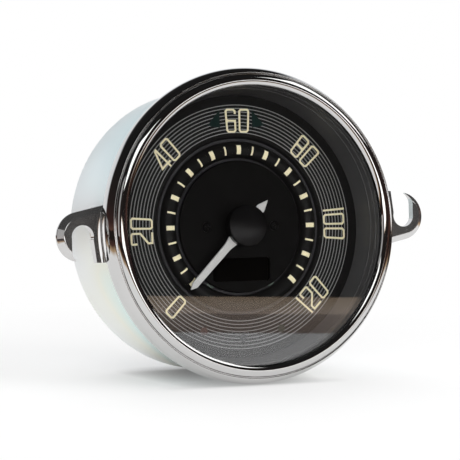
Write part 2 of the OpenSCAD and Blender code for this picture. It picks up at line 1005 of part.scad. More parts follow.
module output_gear() {
    color("ivory")
        gauge()
            difference() {
                union() {
                    gear(wheel_teeth, output_gear_z, output_gear_z + gear_t);
                    post(gear_hub_r, output_gear_z - gear_hub_h, output_gear_z + eps);
                }
                post(arbor_r, output_gear_z - gear_hub_h - eps, output_gear_z + gear_t + eps);
            }
}

module idler_gear() {
    color("ivory")
        gauge()
            translate([0, gear_step, 0]) {
                gear(wheel_teeth, idler_wheel_z, idler_wheel_z + gear_t);
                gear(pinion_teeth, idler_wheel_z + gear_t - eps, output_gear_z + gear_t);
                post(axle_r, axle_low, axle_high);
            }
}

module rotor() {
    color([0.30, 0.30, 0.32])
        gauge()
            translate([0, rotor_y, 0]) {
                gear(pinion_teeth, rotor_pinion_z, magnet_z + eps);
                post(magnet_r, magnet_z, magnet_z + magnet_h);
                post(axle_r, axle_low, axle_high);
            }
}

module motor_outline(inset) {
    union() {
        circle(r = motor_r - inset);
        translate([-motor_r + inset, 0])
            square([2 * (motor_r - inset), motor_low_y + motor_skin]);
        translate([-motor_half_w + inset, motor_low_y + inset])
            square([2 * (motor_half_w - inset), motor_high_y - motor_low_y - 2 * inset]);
    }
}

module motor_shell(low, high, cavity_low, cavity_high) {
    difference() {
        translate([0, 0, low])
            linear_extrude(high - low)
                motor_outline(0);
        translate([0, 0, cavity_low])
            linear_extrude(cavity_high - cavity_low)
                motor_outline(motor_skin);
        for (i = [1, 2])
            translate([0, i * gear_step, 0])
                post(axle_r + shaft_clear, axle_low - shaft_clear, axle_high + shaft_clear);
        post(arbor_r + shaft_clear, axle_low - shaft_clear, boss_top + eps);
    }
}

module motor_front() {
    color([0.20, 0.20, 0.22])
        gauge() {
            motor_shell(motor_joint, motor_front_face, motor_joint - eps, motor_front_face - motor_skin);
            ring(boss_r, arbor_r + shaft_clear, motor_front_face, boss_top);
        }
}

module motor_back() {
    color([0.24, 0.24, 0.26])
        gauge()
            motor_shell(motor_rear, motor_joint, motor_rear + motor_skin, motor_joint + eps);
}

// Iron plate that leads the coils' field round the magnet
module stator() {
    low_y = rotor_y - stator_bar_w / 2;
    yoke_top = motor_high_y - motor_skin - yoke_gap;
    color([0.55, 0.55, 0.56])
        gauge()
            difference() {
                union() {
                    translate([0, rotor_y, 0]) {
                        post(magnet_r + stator_gap + stator_ring_w, stator_z, stator_z + stator_t);
                        block(2 * coil_x + leg_w, stator_bar_w, stator_z, stator_z + stator_t);
                    }
                    for (side = [-1, 1])
                        translate([side * coil_x - leg_w / 2, low_y, stator_z])
                            cube([leg_w, yoke_top - low_y, stator_t]);
                    translate([-coil_x, yoke_top - yoke_w, stator_z])
                        cube([2 * coil_x, yoke_w, stator_t]);
                }
                translate([0, rotor_y, 0])
                    post(magnet_r + stator_gap, stator_z - eps, stator_z + stator_t + eps);
            }
}

module coil(side) {
    color([0.72, 0.42, 0.20])
        gauge()
            translate([side * coil_x, coil_y + coil_len / 2, 0])
                difference() {
                    block(coil_w, coil_len, coil_low, coil_low + coil_h);
                    block(leg_w, coil_len + 2 * eps, stator_z, stator_z + stator_t);
                }
}

module coil_left() {
    coil(-1);
}

module coil_right() {
    coil(1);
}

module circuit_board() {
    color([0.05, 0.30, 0.15])
        gauge()
            difference() {
                post(board_r, board_rear, board_front);
                for (a = pillar_angles)
                    at(pillar_ring_r, a)
                        post(pillar_r + hole_gap, board_rear - eps, board_front + eps);
                for (a = post_angles)
                    at(post_ring_r, a)
                        post(board_screw_r + hole_gap, board_rear - eps, board_front + eps);
            }
}

// A part soldered to the rear of the board
module chip(place, size, tint) {
    color(tint)
        gauge()
            translate([place[0], place[1], 0])
                block(size[0], size[1], board_rear - size[2], board_rear);
}

module processor() {
    chip(processor_at, processor_size, [0.08, 0.08, 0.09]);
}

module regulator() {
    chip(regulator_at, regulator_size, [0.08, 0.08, 0.09]);
}

module crystal() {
    chip(crystal_at, crystal_size, "silver");
}

module capacitor() {
    color([0.15, 0.15, 0.20])
        gauge()
            translate([capacitor_at[0], capacitor_at[1], 0])
                post(capacitor_r, board_rear - capacitor_h, board_rear);
}

module lights(angles, w) {
    color([0.95, 0.93, 0.75])
        gauge()
            for (a = angles)
                at(lamp_ring_r, a)
                    block(w, w, board_front, board_front + light_h);
}

module dial_lights() {
    lights([for (i = [0:dial_light_count - 1]) 360 / dial_light_count * i], dial_light_w);
}

module warning_lights() {
    lights(lamp_angles, warning_light_w);
}

module board_screw(i) {
    color("silver")
        gauge()
            at(post_ring_r, post_angles[i])
                translate([0, 0, board_rear])
                    mirror([0, 0, 1])
                        screw(board_screw_head_r, board_screw_head_h, board_screw_r, board_screw_len);
}

module board_screw_1() {
    board_screw(0);
}

module board_screw_2() {
    board_screw(1);
}

module board_screw_3() {
    board_screw(2);
}

// Wiring socket: a moulded shell through the case's rear face, on a base that stands on the board
module socket() {
    seat = case_rear_inner + socket_seal_t;
    color([0.10, 0.10, 0.11])
        gauge()
            translate([0, socket_y, 0])
                difference() {
                    union() {
                        block(socket_w, socket_h, case_rear - socket_out, seat + eps);
                        block(socket_w + 2 * socket_flange, socket_h + 2 * socket_flange,
                            seat, seat + socket_flange_t);
                        block(socket_w - 2 * socket_base_inset, socket_h - 2 * socket_base_inset,
                            seat + socket_flange_t - eps, board_rear);
                    }
                    difference() {
                        block(socket_w - 2 * socket_wall, socket_h - 2 * socket_wall,
                            case_rear - socket_out - eps, socket_floor);
                        translate([0, -socket_h / 2 + socket_wall, 0])
                            block(socket_key_w, socket_key_w, case_rear - socket_out, socket_floor);
                    }
                    for (x = [0:pin_columns - 1], y = [0:pin_rows - 1])
                        pin_place(x, y)
                            post(pin_r, socket_floor - eps, board_rear + eps);
                }
}

module pin_place(x, y) {
    translate([(x - (pin_columns - 1) / 2) * pin_pitch, (y - (pin_rows - 1) / 2) * pin_pitch, 0])
        children();
}

module socket_pins() {
    color([0.80, 0.68, 0.30])
        gauge()
            translate([0, socket_y, 0])
                for (x = [0:pin_columns - 1], y = [0:pin_rows - 1])
                    pin_place(x, y)
                        post(pin_r, socket_floor - pin_free, board_rear);
}

module socket_seal() {
    color([0.25, 0.25, 0.27])
        gauge()
            translate([0, socket_y, 0])
                difference() {
                    block(socket_w + 2 * socket_flange, socket_h + 2 * socket_flange,
                        case_rear_inner, case_rear_inner + socket_seal_t);
                    block(socket_w, socket_h,
                        case_rear_inner - eps, case_rear_inner + socket_seal_t + eps);
                }
}

// Breather with a membrane under its cap
module vent_plug() {
    color([0.10, 0.10, 0.11])
        gauge()
            translate([vent_x, vent_y, 0]) {
                post(vent_r, case_rear - vent_cap_h, case_rear);
                post(vent_stem_r, case_rear - eps, case_rear_inner + vent_stem_over);
            }
}

module rear_screw(i) {
    color("silver")
        gauge()
            at(pillar_ring_r, pillar_angles[i])
                translate([0, 0, case_rear])
                    mirror([0, 0, 1])
                        screw(rear_screw_head_r, rear_screw_head_h, rear_screw_r, rear_screw_len);
}

module rear_screw_1() {
    rear_screw(0);
}

module rear_screw_2() {
    rear_screw(1);
}

module rear_screw_3() {
    rear_screw(2);
}

// Takes a point of the hook into the arm's own directions, with the hook's round centre at the origin
function on_arm(p) =
    let (
        x = p[0] - hook_outer_x,
        y = p[1] - hook_outer_y,
        a = -hook_top_slope)
    [x * cos(a) - y * sin(a), x * sin(a) + y * cos(a)];
function all_on_arm(points) = [for (p = points) on_arm(p)];

module hook_slot() {
    leg_x = -slot_r - slot_splay;
    cut_low = hook_leg_low - 1;
    side_x = slot_r - slot_flat;
    union() {
        translate(on_arm([0, 0]))
            circle(r = slot_r);
        polygon(all_on_arm([
            [side_x, 0],
            [slot_lead - slot_r, 2 * slot_lead],
            [leg_x, hook_leg_low],
            [leg_x, cut_low],
            [tip_x, cut_low],
            [tip_x, curl_y],
            [side_x, curl_y]]));
        intersection() {
            translate(on_arm([curl_x, curl_y]))
                circle(r = curl_r);
            polygon(all_on_arm([[0, cut_low], [2 * slot_r, cut_low], [2 * slot_r, 0], [0, 0]]));
        }
    }
}

// A round hook on a straight arm, with one bevel along the outer edge of both
module hook_plate() {
    root_y = hook_outer_y - (hook_root_x - hook_outer_x) * tan(-hook_top_slope);
    bevel_rear = hook_front - hook_bevel_h;
    translate([hook_outer_x, hook_outer_y, 0])
        rotate([0, 0, hook_top_slope])
            difference() {
                union() {
                    post(hook_outer_r, hook_rear, bevel_rear);
                    translate([0, 0, bevel_rear])
                        cylinder(r1 = hook_outer_r, r2 = hook_outer_r - hook_bevel_w, h = hook_bevel_h);
                    translate([-hook_arm, 0, 0])
                        rotate([90, 0, 90])
                            linear_extrude(hook_arm)
                                polygon([
                                    [0, hook_rear],
                                    [hook_outer_r, hook_rear],
                                    [hook_outer_r, bevel_rear],
                                    [hook_outer_r - hook_bevel_w, hook_front],
                                    [0, hook_front]]);
                    translate([0, 0, hook_rear])
                        linear_extrude(hook_t)
                            polygon(all_on_arm([
                                [hook_root_x, root_y],
                                [hook_outer_x, hook_outer_y],
                                [-slot_r - slot_splay, hook_leg_low],
                                [hook_root_x, hook_leg_low]]));
                }
                translate([0, 0, hook_rear - eps])
                    linear_extrude(hook_t + 2 * eps)
                        hook_slot();
            }
}

// Turns a child, drawn for the left side, on to one of the two sides
module hook_side(side) {
    translate([0, -hook_drop, 0])
        rotate([0, 0, hook_turn + (side == "right" ? 180 : 0)])
            children();
}

// Angle of the middle of a saddle, seen from the gauge's axis
function saddle_angle(side) =
    side == "right" ? hook_turn + saddle_shift_right : 180 + hook_turn + saddle_shift_left;

// Places a rivet's axis along +Z, pointing out of the case
module rivet_place(i) {
    side = i < 2 ? "left" : "right";
    turn = i % 2 == 0 ? rivet_turn : -rivet_turn;
    rotate([0, 0, saddle_angle(side) + turn])
        translate([0, 0, hook_rear - rivet_drop])
            rotate([0, 90, 0])
                children();
}

module hook(side) {
    color([0.78, 0.79, 0.80])
        gauge()
            difference() {
                union() {
                    hook_side(side)
                        translate([-slot_reach, slot_y, 0])
                            mirror([1, 0, 0])
                                hook_plate();
                    rotate([0, 0, saddle_angle(side) - saddle_turn])
                        rotate_extrude(angle = 2 * saddle_turn)
                            translate([case_r - saddle_overlap, hook_rear - saddle_len])
                                square([saddle_t + saddle_overlap, saddle_len + saddle_root]);
                }
                post(case_r, hook_rear - saddle_len - 1, hook_front + 1);
                for (i = [0:3])
                    rivet_place(i)
                        post(rivet_r, case_r - saddle_overlap, case_r + 2 * saddle_t);
            }
}

module hook_left() {
    hook("left");
}

module hook_right() {
    hook("right");
}

// Rivet through the saddle and the case, with a domed head outside
module hook_rivet(i) {
    seat = case_r + saddle_t;
    dome_r = (rivet_head_r * rivet_head_r + rivet_head_h * rivet_head_h) / (2 * rivet_head_h);
    color([0.70, 0.71, 0.72])
        gauge()
            rivet_place(i) {
                post(rivet_r, case_inner_r - rivet_tail, seat + eps);
                translate([0, 0, seat])
                    rotate_extrude()
                        intersection() {
                            translate([0, rivet_head_h - dome_r])
                                circle(r = dome_r);
                            square([rivet_head_r, rivet_head_h]);
                        }
            }
}

module hook_rivet_1() {
    hook_rivet(0);
}

module hook_rivet_2() {
    hook_rivet(1);
}

module hook_rivet_3() {
    hook_rivet(2);
}

module hook_rivet_4() {
    hook_rivet(3);
}

case_can();
bezel();
glass();
glass_gasket();
case_gasket();
wall_ring();
numeral_plate();
dial_lines();
numerals();
side_triangles();
tick_ring();
tick_marks();
centre_disc();
dial_screw_left();
dial_screw_right();
display_window();
display_module();
lamp_lens_red();
lamp_lens_blue();
lamp_lens_green();
light_guide();
dial_carrier();
pointer();
hub_cap();
arbor();
output_gear();
idler_gear();
rotor();
motor_front();
motor_back();
stator();
coil_left();
coil_right();
circuit_board();
processor();
regulator();
crystal();
capacitor();
dial_lights();
warning_lights();
board_screw_1();
board_screw_2();
board_screw_3();
socket();
socket_pins();
socket_seal();
vent_plug();
rear_screw_1();
rear_screw_2();
rear_screw_3();
hook_left();
hook_right();
hook_rivet_1();
hook_rivet_2();
hook_rivet_3();
hook_rivet_4();
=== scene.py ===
from math import cos, degrees, exp, pi, radians, sin

import bmesh
import bpy
from bpy.props import FloatProperty, FloatVectorProperty, IntProperty, PointerProperty
from mathutils import Matrix, Vector


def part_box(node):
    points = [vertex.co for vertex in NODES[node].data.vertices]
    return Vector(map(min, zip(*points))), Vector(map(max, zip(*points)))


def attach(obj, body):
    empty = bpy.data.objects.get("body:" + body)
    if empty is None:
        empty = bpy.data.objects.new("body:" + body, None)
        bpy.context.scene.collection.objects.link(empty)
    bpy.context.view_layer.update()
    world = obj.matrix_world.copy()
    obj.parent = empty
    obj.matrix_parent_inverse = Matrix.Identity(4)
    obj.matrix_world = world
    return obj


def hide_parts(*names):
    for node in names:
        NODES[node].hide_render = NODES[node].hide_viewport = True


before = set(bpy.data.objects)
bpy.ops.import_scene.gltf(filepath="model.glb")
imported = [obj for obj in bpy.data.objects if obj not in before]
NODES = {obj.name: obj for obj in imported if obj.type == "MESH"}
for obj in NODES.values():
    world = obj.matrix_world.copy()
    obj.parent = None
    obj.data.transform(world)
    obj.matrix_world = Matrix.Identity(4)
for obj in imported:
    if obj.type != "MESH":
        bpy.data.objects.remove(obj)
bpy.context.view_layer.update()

bl_info = {
    "name": "Round speedometer",
    "version": (1, 0, 0),
    "blender": (4, 5, 0),
    "location": "View3D > Sidebar > Gauge",
    "description": "Dresses a round electric speedometer and its studio",
    "category": "Object",
}

HOUSING = "housing"
POINTER_SET = "pointer_set"
MM = 0.001
LOWEST, HIGHEST = 0, 1
X, Y, Z = 0, 1, 2


def cad_mm(node, corner, axis):
    """A coordinate of the lowest or highest corner of a CAD node, in millimetres."""
    return round(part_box(node)[corner][axis] / MM, 3)


# Distance from the dial's face forward to the middle of the bezel's rim, which is the origin.
# Heights are measured forward from that face, in millimetres.
DIAL_DEPTH = cad_mm("numeral_plate", LOWEST, Y)
# Points closer than this are one point, in metres: in a spun shape, and in a CAD node's triangles
SPUN_MERGE = 1e-7
CAD_MERGE = 2e-6
# Two CAD triangles that turn by less than this, in degrees, belong to one flat face
FLAT_TURN = 0.5
# Segments in the bezel's small bends, its crest, its flank and the inside of its flank
BEND_STEPS, CREST_STEPS, FLANK_STEPS, INNER_STEPS = 8, 40, 110, 12
# Angle, in degrees, at which the inside of the flank meets the lip
INNER_END = 50
# Lean of the cap's surface for each metre away from its centre
CAP_CROWN = 16.0
# How much lighter the ink of the marks is than the numerals' ink
MARK_LIGHTNESS = 1.15
# Part of a noise's range that a colour or a gloss runs over
NOISE_START, NOISE_END = 0.3, 0.7
# Share by which the gloss of a grained finish varies
GLOSS_SPREAD = 0.15
WHITE = (1, 1, 1, 1)


def dial_y(height):
    """The Y, in metres, of a height in millimetres in front of the dial."""
    return (DIAL_DEPTH - height) * MM


# Meshes


def new_object(name, bm, material):
    """Turns a bmesh into an object of the scene."""
    mesh = bpy.data.meshes.new(name)
    bm.to_mesh(mesh)
    bm.free()
    mesh.materials.append(material)
    made = bpy.data.objects.new(name, mesh)
    bpy.context.scene.collection.objects.link(made)
    return made


def new_piece(name, bm, material, body, node):
    """Turns a bmesh into a piece that rides on a body and takes the place of a CAD node."""
    piece = new_object(name, bm, material)
    shade_smooth(piece)
    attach(piece, body)
    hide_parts(node)
    return piece


def shade_smooth(piece):
    """Shades every face smoothly."""
    polygons = piece.data.polygons
    polygons.foreach_set("use_smooth", [True] * len(polygons))


def split_edges(piece, angle):
    """Keeps the edges hard that turn by more than angle, in degrees."""
    piece.modifiers.new("Edges", "EDGE_SPLIT").split_angle = radians(angle)


def arc(centre, r, start, end, steps):
    """Points of an arc in the plane of radius and height, in millimetres, with angles in degrees."""
    angles = [radians(start + (end - start) * i / steps) for i in range(steps + 1)]
    return [(centre[0] + r * cos(angle), centre[1] + r * sin(angle)) for angle in angles]


def spun(profile, steps, closed=True):
    """Spins a profile of (radius, height) points in millimetres round the gauge's axis."""
    bm = bmesh.new()
    verts = [bm.verts.new((r * MM, dial_y(h), 0)) for r, h in profile]
    pairs = list(zip(verts, verts[1:]))
    if closed:
        pairs.append((verts[-1], verts[0]))
    edges = [bm.edges.new(pair) for pair in pairs]
    bmesh.ops.spin(
        bm, geom=verts + edges, cent=(0, 0, 0), axis=(0, 1, 0),
        angle=2 * pi, steps=steps, use_merge=True,
    )
    bmesh.ops.remove_doubles(bm, verts=bm.verts, dist=SPUN_MERGE)
    bmesh.ops.recalc_face_normals(bm, faces=bm.faces)
    return bm


def rounded_copy(name, node, material, body, width, segments=3, angle=25, widest=180):
    """A copy of a CAD node with the edges rounded that turn by more than angle, up to widest."""
    bm = bmesh.new()
    bm.from_mesh(NODES[node].data)
    bmesh.ops.remove_doubles(bm, verts=bm.verts, dist=CAD_MERGE)
    bmesh.ops.dissolve_limit(
        bm, angle_limit=radians(FLAT_TURN), verts=bm.verts, edges=bm.edges, delimit={"NORMAL"}
    )
    sharp = [
        e for e in bm.edges
        if e.is_manifold and radians(angle) < e.calc_face_angle(0) < radians(widest)
    ]
    bmesh.ops.bevel(
        bm, geom=sharp, offset=width * MM, offset_type="OFFSET", segments=segments,
        profile=0.5, affect="EDGES", clamp_overlap=True, material=-1,
    )
    piece = new_piece(name, bm, material, body, node)
    split_edges(piece, angle=40)
    # Flat faces keep flat reflections next to their rounded edges
    piece.modifiers.new("Normals", "WEIGHTED_NORMAL").weight = 100
    return piece


def finish_nodes(key, *names, angle=30):
    """Gives CAD nodes a finish and smooth faces between the edges that turn by more than angle."""
    for name in names:
        node = NODES[name]
        node.data.materials.clear()
        node.data.materials.append(finish(key))
        shade_smooth(node)
        node.modifiers.new("Weld", "WELD").merge_threshold = CAD_MERGE
        split_edges(node, angle)


# Materials


class Wiring:
    """A node tree under construction."""

    def __init__(self, tree):
        self.tree = tree

    def feed(self, socket, value):
        """Links another node's output to a socket, or sets the socket's own value."""
        if isinstance(value, bpy.types.NodeSocket):
            self.tree.links.new(value, socket)
        else:
            socket.default_value = value

    def add(self, kind, inputs=None, **settings):
        """A new node with its settings, and with what feeds each of its inputs."""
        node = self.tree.nodes.new(kind)
        for key, value in settings.items():
            setattr(node, key, value)
        for key, value in (inputs or {}).items():
            self.feed(node.inputs[key], value)
        return node

    def ramp(self, source, stops):
        """Colours by a value, from stops of (value, colour)."""
        node = self.add("ShaderNodeValToRGB", {"Fac": source})
        elements = node.color_ramp.elements
        while len(elements) < len(stops):
            elements.new(0.5)
        for element, (place, colour) in zip(elements, stops):
            element.position = place
            element.color = (*colour, 1)
        return node.outputs["Color"]

    def fine_ramp(self, source, stops, low, high):
        """Colours by a value, with the ramp's whole length between the two values given."""
        span = self.between(source, 0, 1, low, high)
        return self.ramp(span, [((place - low) / (high - low), colour) for place, colour in stops])

    def between(self, source, low, high, start=NOISE_START, end=NOISE_END, **settings):
        """A value that goes from low to high while its source goes from start to end."""
        limits = {"From Min": start, "From Max": end, "To Min": low, "To Max": high}
        return self.add(
            "ShaderNodeMapRange", {"Value": source, **limits}, **settings
        ).outputs["Result"]

    def vector(self, operation, *inputs):
        """The vector that an operation on vectors gives."""
        return self.add(
            "ShaderNodeVectorMath", dict(enumerate(inputs)), operation=operation
        ).outputs["Vector"]

    def measure(self, operation, *inputs):
        """The number that an operation on vectors gives."""
        return self.add(
            "ShaderNodeVectorMath", dict(enumerate(inputs)), operation=operation
        ).outputs["Value"]

    def along(self, vector, axis):
        """One coordinate of a vector."""
        return self.add("ShaderNodeSeparateXYZ", {"Vector": vector}).outputs[axis]

    def mixed(self, share, first, second):
        """The first colour, which gives way to the second as the share goes to 1."""
        return self.add(
            "ShaderNodeMixRGB", {"Fac": share, "Color1": first, "Color2": second}
        ).outputs["Color"]

    def mixed_shader(self, share, first, second):
        """The first shader, which gives way to the second as the share goes to 1."""
        return self.add("ShaderNodeMixShader", {"Fac": share, 1: first, 2: second}).outputs["Shader"]

    def seen_directly(self):
        """1 where the viewer looks straight at the surface, and 0 in a reflection or as light."""
        return self.add("ShaderNodeLightPath").outputs["Is Camera Ray"]


class Finish(Wiring):
    """A material under construction: one Principled shader and its node tree."""

    def __init__(self, name, colour, rough=0.5, metallic=0.0, shine=0.5):
        self.material = bpy.data.materials.new(name)
        self.material.use_nodes = True
        self.material.diffuse_color = (*colour, 1)
        super().__init__(self.material.node_tree)
        self.shader = self.tree.nodes["Principled BSDF"]
        self.surface = self.tree.nodes["Material Output"].inputs["Surface"]
        self.put("Base Color", (*colour, 1))
        self.put("Roughness", rough)
        self.put("Metallic", metallic)
        self.put("Specular IOR Level", shine)
        self.coords = self.add("ShaderNodeTexCoord").outputs["Object"]

    def put(self, socket, value):
        """Feeds one of the shader's sockets."""
        self.feed(self.shader.inputs[socket], value)

    def noise(self, scale, detail=3.0, rough=0.5):
        """Soft patches all over the surface, from 0 to 1."""
        return self.add("ShaderNodeTexNoise", {
            "Vector": self.coords, "Scale": scale, "Detail": detail, "Roughness": rough,
        }).outputs["Fac"]

    def rough_from(self, source, low, high):
        """An uneven gloss."""
        self.put("Roughness", self.between(source, low, high))

    def bump_from(self, source, depth_mm):
        """Small dents of the depth given. Returns the node that makes them."""
        bump = self.add("ShaderNodeBump", {"Height": source, "Distance": depth_mm * MM})
        self.put("Normal", bump.outputs["Normal"])
        return bump


def tones(colour, spread):
    """Two stops either side of a colour."""
    dark = tuple(max(0.0, c * (1 - spread)) for c in colour)
    light = tuple(min(1.0, c * (1 + spread)) for c in colour)
    return [(NOISE_START, dark), (NOISE_END, light)]


def grained(
    name, colour, rough, metallic=0.0, scale=900.0, depth=0.01, spread=0.08, shine=0.5, crown=0.0
):
    """A finish with soft patches of tone, an uneven gloss and a fine grain."""
    f = Finish(name, colour, rough, metallic, shine)
    f.put("Base Color", f.ramp(f.noise(60, detail=4), tones(colour, spread)))
    f.rough_from(f.noise(180), rough * (1 - GLOSS_SPREAD), min(1.0, rough * (1 + GLOSS_SPREAD)))
    bump = f.bump_from(f.noise(scale, detail=4, rough=0.6), depth)
    if crown:
        facing = f.add("ShaderNodeNewGeometry").outputs["Normal"]
        leaning = f.vector("MULTIPLY_ADD", f.coords, (crown, 0, crown), facing)
        f.feed(bump.inputs["Normal"], leaning)
    return f


def chrome_finish(name, colour, low, high, metallic=1.0):
    """Polished plate with faint smears and polishing lines."""
    f = Finish(name, colour, low, metallic)
    f.put("Base Color", f.ramp(f.noise(25), tones(colour, spread=0.015)))
    f.rough_from(f.noise(90, detail=5, rough=0.6), low, high)
    f.bump_from(f.noise(260), depth_mm=0.0012)
    return f


def zinc_finish(colour):
    """Bright zinc plate with the faint pink, green and blue of its passivate, and a painted sheen
    towards the bottom.
    """
    f = Finish("Bright zinc plate", colour, rough=0.42, metallic=0.65)
    # The colour shifts towards the bottom of the case: partly the passivate's pastel tints, partly a
    # painted reflection of the bright floor close below
    lower_film_and_sheen = f.between(f.along(f.coords, "Z"), low=0.12, high=0, start=-0.055, end=-0.010)
    film_and_sheen = f.add("ShaderNodeMath", {0: f.noise(11, detail=1.5), 1: lower_film_and_sheen}, operation="ADD")
    f.put("Base Color", f.ramp(film_and_sheen.outputs["Value"], [
        (0.30, (0.78, 0.94, 0.96)),
        (0.42, (0.82, 0.93, 0.95)),
        (0.50, (0.85, 0.93, 0.94)),
        (0.58, (0.87, 0.89, 0.90)),
        (0.66, (0.88, 0.89, 0.80)),
        (0.74, (0.74, 0.89, 0.87)),
    ]))
    f.rough_from(f.noise(40), low=0.38, high=0.46)
    f.bump_from(f.noise(900, detail=2), depth_mm=0.002)
    return f


def ink_finish(name, colour):
    """Screen-printed ink, a little uneven in its cover."""
    f = Finish(name, colour, rough=0.55, shine=0.2)
    f.put("Base Color", f.ramp(f.noise(900, rough=0.6), tones(colour, spread=0.06)))
    f.bump_from(f.noise(1400, detail=2), depth_mm=0.001)
    return f


def clear_finish(name, tint, gloss_rough, ior):
    """Clear pane: light passes straight through, and the surface mirrors by its angle."""
    f = Finish(name, tint, gloss_rough)
    f.tree.nodes.remove(f.shader)
    clear = f.add("ShaderNodeBsdfTransparent", {"Color": (*tint, 1)})
    uneven = f.between(f.noise(40), gloss_rough, gloss_rough * 2)
    gloss = f.add("ShaderNodeBsdfGlossy", {"Roughness": uneven})
    mirror = f.add("ShaderNodeFresnel", {"IOR": ior})
    pane = f.mixed_shader(mirror.outputs["Fac"], clear.outputs["BSDF"], gloss.outputs["BSDF"])
    f.feed(f.surface, pane)
    return f


def wound_finish():
    """Enamelled copper wire laid in close turns."""
    f = Finish("Enamelled copper wire", (0.60, 0.26, 0.10), rough=0.3, metallic=1.0)
    turns = f.add(
        "ShaderNodeTexWave", {"Vector": f.coords, "Scale": 900, "Distortion": 0.6},
        wave_type="BANDS", bands_direction="Z",
    ).outputs["Fac"]
    f.put("Base Color", f.ramp(turns, [(0.0, (0.25, 0.09, 0.03)), (0.6, (0.72, 0.34, 0.14))]))
    f.bump_from(turns, depth_mm=0.05)
    return f


def board_finish():
    """Green solder mask over copper tracks."""
    f = Finish("Green solder mask", (0.02, 0.14, 0.06), rough=0.35)
    flat = f.add("ShaderNodeMapping", {"Vector": f.coords, "Scale": (1, 0, 1)})
    tracks = f.add("ShaderNodeTexBrick", {
        "Vector": flat.outputs["Vector"], "Scale": 260, "Mortar Size": 0.06,
        "Color1": (0.015, 0.12, 0.05, 1), "Color2": (0.02, 0.14, 0.06, 1),
        "Mortar": (0.04, 0.22, 0.09, 1),
    })
    f.put("Base Color", tracks.outputs["Color"])
    f.rough_from(f.noise(300), low=0.28, high=0.42)
    return f


def floor_finish():
    """A white sheet that glows softly far from the gauge, so that it has no far edge, with painted
    shade round the gauge's foot and a painted reflection of dark wood.
    """
    paper = (0.86, 0.86, 0.86)
    f = Finish("Pale floor", paper, rough=0.6)
    sheet = f.ramp(f.noise(3, detail=2), tones(paper, spread=0.01))
    # Painted shade: the sheet is darkened by ambient occlusion behind the foot of the rim, where the
    # rim and the case almost touch it
    contact_reach = 0.012
    painted_contact_shade = f.add("ShaderNodeAmbientOcclusion", {"Color": sheet, "Distance": contact_reach})
    behind = f.between(f.along(f.coords, "Y"), low=0, high=1, start=-0.004, end=0.002)
    f.put("Base Color", f.mixed(behind, sheet, painted_contact_shade.outputs["Color"]))
    # Painted light: the sheet glows plain white over the lamps' shade, except round a place behind
    # the foot of the rim, where the case shades it most; the glow fades in from 45 mm to 240 mm from
    # there, so the shade's edge is painted
    shade_centre = (0, 0.04, 0)
    from_shade = f.measure("LENGTH", f.vector("SUBTRACT", f.coords, shade_centre))
    glowing = f.ramp(from_shade, [
        (0.045, (0.0, 0.0, 0.0)),
        (0.080, (0.5, 0.5, 0.5)),
        (0.240, (1.0, 1.0, 1.0)),
    ])
    # Painted reflection: in reflections and as light the sheet glows white far back, and brown to
    # near black at the front and sides like a dark wooden table; the camera sees it plain white.
    # Behind the gauge the distance counts sideways only, since Y stops at zero there.
    no_limit = 10
    ahead = f.measure("LENGTH", f.vector("MINIMUM", f.coords, (no_limit, 0, no_limit)))
    painted_table_reflection = f.ramp(ahead, [
        (0.26, (1.00, 1.00, 1.00)),
        (0.32, (0.55, 0.38, 0.22)),
        (0.42, (0.09, 0.045, 0.035)),
        (0.70, (0.02, 0.015, 0.013)),
    ])
    glow = f.add("ShaderNodeEmission", {"Color": f.mixed(f.seen_directly(), painted_table_reflection, WHITE)})
    f.feed(f.surface, f.mixed_shader(glowing, f.shader.outputs["BSDF"], glow.outputs["Emission"]))
    return f


